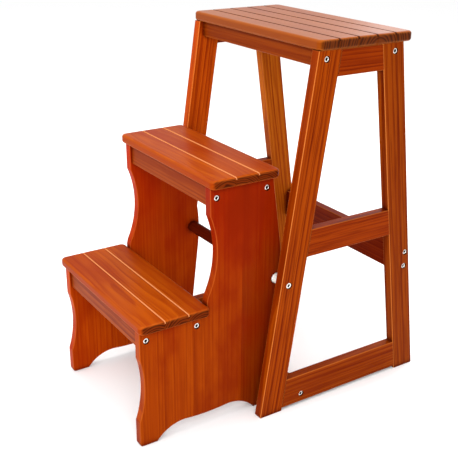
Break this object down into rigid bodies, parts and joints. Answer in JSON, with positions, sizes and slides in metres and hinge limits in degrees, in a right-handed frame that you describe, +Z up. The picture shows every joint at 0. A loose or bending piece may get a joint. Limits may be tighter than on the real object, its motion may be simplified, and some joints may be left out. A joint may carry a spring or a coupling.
{
  "type": "step ladder",
  "caption": "Wooden flip step ladder: a grooved seat board on a trapezoid frame, with a two-tread step unit that swings over the front and stows upside down inside the frame.",
  "frame": {"origin": "on the floor, under the middle of the whole ladder with its steps swung out", "axes": "+Z up, -Y is the side that is climbed, +X runs across the ladder to the climber's right"},
  "size_m": [0.378, 0.577, 0.65],
  "materials": {
    "stained_pine_frame": "satin cherry stain and lacquer on pine, grain along the piece",
    "stained_pine_cross": "satin cherry stain and lacquer on pine, grain across the ladder",
    "stained_pine_panel": "satin cherry stain and lacquer on pine, grain upright",
    "stained_pine_seat": "satin cherry stain and lacquer on pine, grooved",
    "stained_pine_tread": "satin cherry stain and lacquer on pine, grooved",
    "raw_beech": "bare beech dowel",
    "bright_zinc": "bright zinc plated steel",
    "yellow_zinc": "zinc plated steel",
    "white_nylon": "white nylon"
  },
  "bodies": {
    "main_frame": {"front_leg_left": "stained_pine_frame", "rear_leg_left": "stained_pine_frame", "top_rail_left": "stained_pine_frame", "mid_rail_left": "stained_pine_frame", "low_rail_left": "stained_pine_frame", "front_leg_right": "stained_pine_frame", "rear_leg_right": "stained_pine_frame", "top_rail_right": "stained_pine_frame", "mid_rail_right": "stained_pine_frame", "low_rail_right": "stained_pine_frame", "front_apron": "stained_pine_cross", "rear_apron": "stained_pine_cross", "rear_stretcher": "stained_pine_cross", "bottom_stretcher": "stained_pine_cross", "seat_board": "stained_pine_seat", "frame_bolts": "bright_zinc", "frame_barrel_nuts": "yellow_zinc", "seat_screws": "yellow_zinc", "side_dowels_left": "raw_beech", "side_dowels_right": "raw_beech"},
    "step_unit": {"side_panel_left": "stained_pine_panel", "side_panel_right": "stained_pine_panel", "lower_front_apron": "stained_pine_cross", "lower_rear_apron": "stained_pine_cross", "middle_front_apron": "stained_pine_cross", "middle_rear_apron": "stained_pine_cross", "lower_tread": "stained_pine_tread", "middle_tread": "stained_pine_tread", "cross_rod": "stained_pine_cross", "panel_bolts": "bright_zinc", "panel_barrel_nuts": "yellow_zinc", "tread_screws": "yellow_zinc", "pivot_bolt_left": "bright_zinc", "pivot_bolt_right": "bright_zinc", "pivot_washer_left": "bright_zinc", "pivot_washer_right": "bright_zinc", "pivot_spacer_left": "white_nylon", "pivot_spacer_right": "white_nylon", "rod_insert_left": "yellow_zinc", "rod_insert_right": "yellow_zinc"}
  },
  "joints": [
    {"name": "step_swing", "type": "hinge", "parent": "main_frame", "child": "step_unit", "pos_m": [0, -0.021, 0.245], "axis": [-1, 0, 0], "range_deg": [0, 180]}
  ]
}
